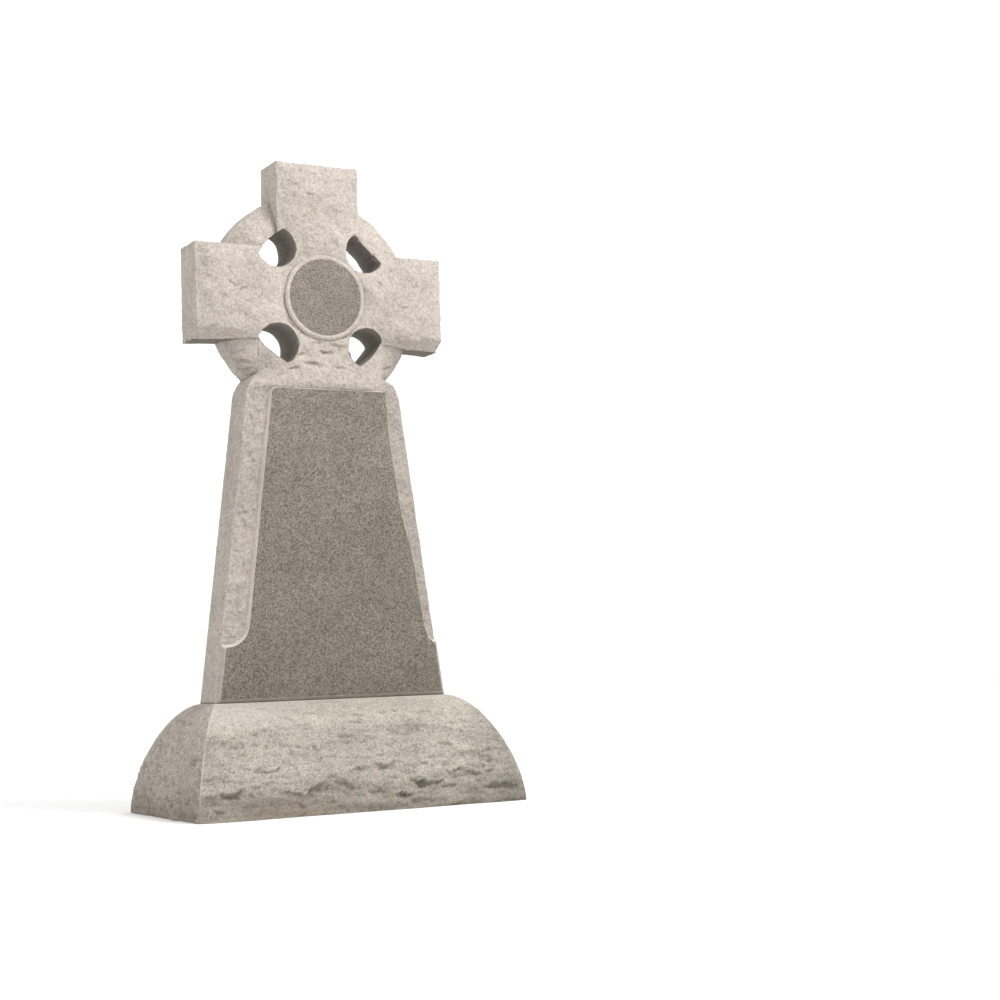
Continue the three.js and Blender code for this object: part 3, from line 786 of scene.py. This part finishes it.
def base_scars(co, side, near_fine):
    """The struck ledges of the front and the small ones strewn over every side."""
    cuts = np.zeros(len(co))
    shaded = np.zeros(len(co))
    front = side == FRONT
    wobble = fractal(co, 0.030, 3, 21) + 0.5 * fractal(co, 0.010, 2, 28)
    broken = np.clip(0.95 + 0.6 * fractal(co, 0.018, 2, 29), 0.4, 1.3)
    for k, (many, deepest) in enumerate(STREWN):
        on = side == k
        long_side = k in (FRONT, REAR)
        along = co[on, 0] if long_side else co[on, 1]
        reach = 0.36 if long_side else 0.20
        lines = strewn(many, deepest, reach, STREWN_LOW, STREWN_HIGH, 40 + k)
        cut, dark = scars(lines, along, co[on, 2], wobble[on])
        cuts[on] += cut * near_fine[on]
        shaded[on] = 0.8 * dark
    cut, dark = scars(BASE_SCARS, co[front, 0], co[front, 2], wobble[front])
    cuts[front] += cut * near_fine[front] * broken[front]
    shaded[front] = np.maximum(shaded[front], dark * broken[front])
    return cuts, shaded


def base_relief(co, side, corner):
    """How far each point is moved out, its relief alone, and how dark the scars make it."""
    z = co[:, 2]
    from_seat = smooth(0.0, 0.045, BASE_H - z)
    near = 1 - np.exp(-corner / CORNER_CALM)
    near_fine = 1 - np.exp(-corner / CORNER_CALM_FINE)
    swell = np.where(side == FRONT, FRONT_SWELL, SIDE_SWELL)
    push = swell * from_seat * near * (0.55 + 0.45 * smooth(0, 0.06, z))
    low = 0.35 + 0.65 * smooth(0.215, 0.110, z)
    relief = (layer(co, BASE_BIG) + layer(co, BASE_FLOW) + chipped(co, BASE_CHIPS)) * low
    relief += layer(co, BASE_SMALL) * (0.5 + 0.5 * low) + layer(co, BASE_GRAIN)
    relief *= np.where(side == FRONT, 1.0, 0.85)
    relief *= near_fine * smooth(0.0, 0.012, BASE_H - z)
    cuts, shaded = base_scars(co, side, near_fine)
    relief += cuts
    push += relief
    push -= (1 - near_fine) * 0.0007 * (1 + fractal(co, 0.010, 2, 27))
    return push, relief, shaded


def base_edge(co, side, corner):
    """Paler arrises, with a painted highlight on the upright corners and the seat's edge, and a
    paler upper left of the front.
    """
    x, z = co[:, 0], co[:, 2]
    line = np.exp(-((corner / 0.0030) ** 2)) * (0.25 + 0.75 * smooth(0.02, 0.11, z))
    line = np.maximum(line, 0.8 * smooth(BASE_H - 0.003, BASE_H - 0.0005, z))
    pale = 0.35 * smooth(-0.08, -0.22, x) * smooth(0.165, 0.205, z) * (side == FRONT)
    return np.maximum(line, pale)


def base_soil(co, side):
    """Brown stain near the ground, strongest low on the left of the front."""
    x, z = co[:, 0], co[:, 2]
    drift = fractal(co, 0.09, 3, 31)
    ochre = np.exp(-(((x + 0.20) / 0.07) ** 2)) * smooth(0.050, 0.025, z) * (side == FRONT)
    stain = 0.40 * smooth(0.060, 0.0, z) + 0.30 * drift * smooth(0.12, 0.01, z) + 0.45 * ochre
    return np.clip(stain, 0, 1)


def base_shade(co, side):
    """Where the base is darker: painted shade on the front below its top, which faces up to the
    light; darker low down below a wavy line, towards the right end, and in bands.
    """
    x, z = co[:, 0], co[:, 2]
    line_level = np.interp(x, [p[0] for p in DARKER_BELOW], [p[1] for p in DARKER_BELOW])
    under_line = smooth(0.016, -0.014, z - line_level - 0.012 * fractal(co, 0.030, 3, 32))
    # Painted shade on the front below its top, which faces up to the light; darker again below
    # the wavy line.
    shadow = 0.26 * smooth(0.205, 0.150, z) + 0.26 * under_line
    shadow += 0.46 * smooth(0.26, 0.36, x)
    bands = fractal(co, 0.050, 4, 33, (0.35, 1, 2.0))
    shadow += 0.34 * np.clip(bands + 0.05, 0, 1) * (1 - 0.6 * smooth(0.175, 0.215, z))
    return np.where(side == FRONT, shadow, 0.30 * smooth(0.110, 0.020, z))


def base_faces(side_of):
    """Triangles round the base with one fan under it and one on its seat."""
    around = len(side_of)
    i = np.arange(around)
    j = (i + 1) % around
    rows = range(0, (BASE_LEVELS - 1) * around, around)
    quads = np.concatenate(
        [np.stack([s + i, s + j, s + j + around, s + i + around], 1) for s in rows]
    )
    quad_zone = np.tile(side_of, BASE_LEVELS - 1)
    top = (BASE_LEVELS - 1) * around
    middle = BASE_LEVELS * around
    under = np.stack([j, i, np.full(around, middle)], 1)
    over = np.stack([top + i, top + j, np.full(around, middle + 1)], 1)
    tri = np.concatenate([quads[:, [0, 1, 2]], quads[:, [0, 2, 3]], under, over])
    ends = [np.full(around, 4), np.full(around, 5)]
    return tri, np.concatenate([quad_zone, quad_zone] + ends)


def make_base():
    flat, corner, lean = base_grid()
    around = sum(BASE_STEPS)
    side_of = np.repeat(np.arange(len(BASE_STEPS)), BASE_STEPS)
    side = np.tile(side_of, BASE_LEVELS)
    push, relief, shaded = base_relief(flat, side, corner)
    out = np.array([(0, -1), (1, 0), (0, 1), (-1, 0)], float)[side]
    tilt = np.arctan(np.clip(lean, 0, 50))
    direction = np.zeros_like(flat)
    direction[:, :2] = out * np.cos(tilt)[:, None]
    direction[:, 2] = np.sin(tilt) * smooth(0.0, 0.012, flat[:, 2])
    moved = flat + direction * push[:, None]
    moved[:, 2] = np.clip(moved[:, 2], 0.0, BASE_H)
    moved[-around:, 2] = BASE_H
    moved[:around, 2] = 0.0
    points = np.concatenate([moved, [[0, 0, 0.0], [0, 0, BASE_H]]])
    tri, zone = base_faces(side_of)
    keys, a, b, border = edges_of(tri, zone, len(points))
    none = [0, 0]
    relief = np.concatenate([relief, none])
    # Painted shade in the hollows of the base's relief and under the scars' lips.
    dip = relax(relief, a, b, np.ones(len(points), bool), 12) - relief
    recess_shade = np.maximum(np.clip(dip / 0.0022, 0, 1) * 0.6, np.concatenate([shaded, none]))
    recess_shade[-2:] = 0
    attributes = {
        "recess_shade": recess_shade,
        "edge": np.concatenate([base_edge(flat, side, corner), none]),
        "stain_and_shade": np.concatenate([base_soil(flat, side), none]),
        "shade": np.concatenate([base_shade(flat, side), none]),
    }
    # The front and the seat take the first material, the other sides the second.
    slots = np.array([0, 1, 1, 1, 1, 0])
    obj = build("base_stone", points, tri, zone, keys[border], slots, attributes)
    for mat in (BASE_MAT, FLANK_MAT):
        obj.data.materials.append(mat)
    print("base", len(tri), "triangles")
    return obj


cross = make_cross()
base = make_base()

for piece, node, slot in ((cross, "cross", "cross_stone"), (base, "base", "base_stone")):
    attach(piece, "root")
    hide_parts(node)

# Floor and light.
FLOOR = 14.0
floor_mesh = bpy.data.meshes.new("floor")
floor_mesh.from_pydata(
    [(-FLOOR, -FLOOR, 0), (FLOOR, -FLOOR, 0), (FLOOR, FLOOR, 0), (-FLOOR, FLOOR, 0)],
    [],
    [(0, 1, 2, 3)],
)
floor = bpy.data.objects.new("floor", floor_mesh)
floor.location.z = -0.0005
bpy.context.scene.collection.objects.link(floor)
pale = bpy.data.materials.new("pale_floor")
pale.use_nodes = True
pale_shader = pale.node_tree.nodes["Principled BSDF"]
pale_shader.inputs["Base Color"].default_value = (0.87, 0.87, 0.87, 1)
pale_shader.inputs["Roughness"].default_value = 0.95
pale_shader.inputs["Specular IOR Level"].default_value = 0.1
floor_mesh.materials.append(pale)

world = bpy.data.worlds.new("studio")
bpy.context.scene.world = world
world.use_nodes = True
background = world.node_tree.nodes["Background"]
background.inputs["Color"].default_value = (1.0, 1.0, 1.0, 1)
background.inputs["Strength"].default_value = 1.15


def area_light(name, place, target, size, power, colour=(1, 1, 1)):
    data = bpy.data.lights.new(name, "AREA")
    data.shape = "DISK"
    data.size = size
    data.energy = power
    data.color = colour
    lamp = bpy.data.objects.new(name, data)
    lamp.location = place
    lamp.rotation_euler = (Vector(target) - Vector(place)).to_track_quat("-Z", "Y").to_euler()
    bpy.context.scene.collection.objects.link(lamp)
    return lamp


area_light("key", (1.4, -2.08, 3.73), (0, 0, 0.9), 1.4, 111)

# Camera.
YAW, TURN, PITCH, ROLL = 23.5924, 5.5284, 4.9702, -1.9388
DISTANCE, CAMERA_Z, FOCAL_PX = 4.26885, 0.31035, 1862.12
heading = math.radians(YAW + TURN)
pitch = math.radians(PITCH)
roll = math.radians(ROLL)
forward = Vector(
    (math.sin(heading) * math.cos(pitch), math.cos(heading) * math.cos(pitch), math.sin(pitch))
)
right = Vector((math.cos(heading), -math.sin(heading), 0))
up = right.cross(forward)
right_rolled = right * math.cos(roll) + up * math.sin(roll)
up_rolled = up * math.cos(roll) - right * math.sin(roll)
camera_data = bpy.data.cameras.new("camera")
camera_data.sensor_width = 36.0
camera_data.lens = FOCAL_PX * 36.0 / 1000.0
camera_data.clip_start = 0.05
camera_data.clip_end = 60.0
camera = bpy.data.objects.new("camera", camera_data)
turned = Matrix((right_rolled, up_rolled, -forward)).transposed().to_4x4()
place = (
    -math.sin(math.radians(YAW)) * DISTANCE,
    -math.cos(math.radians(YAW)) * DISTANCE,
    CAMERA_Z,
)
camera.matrix_world = Matrix.Translation(place) @ turned
bpy.context.scene.collection.objects.link(camera)
bpy.context.scene.camera = camera
bpy.context.scene.view_settings.view_transform = "Standard"
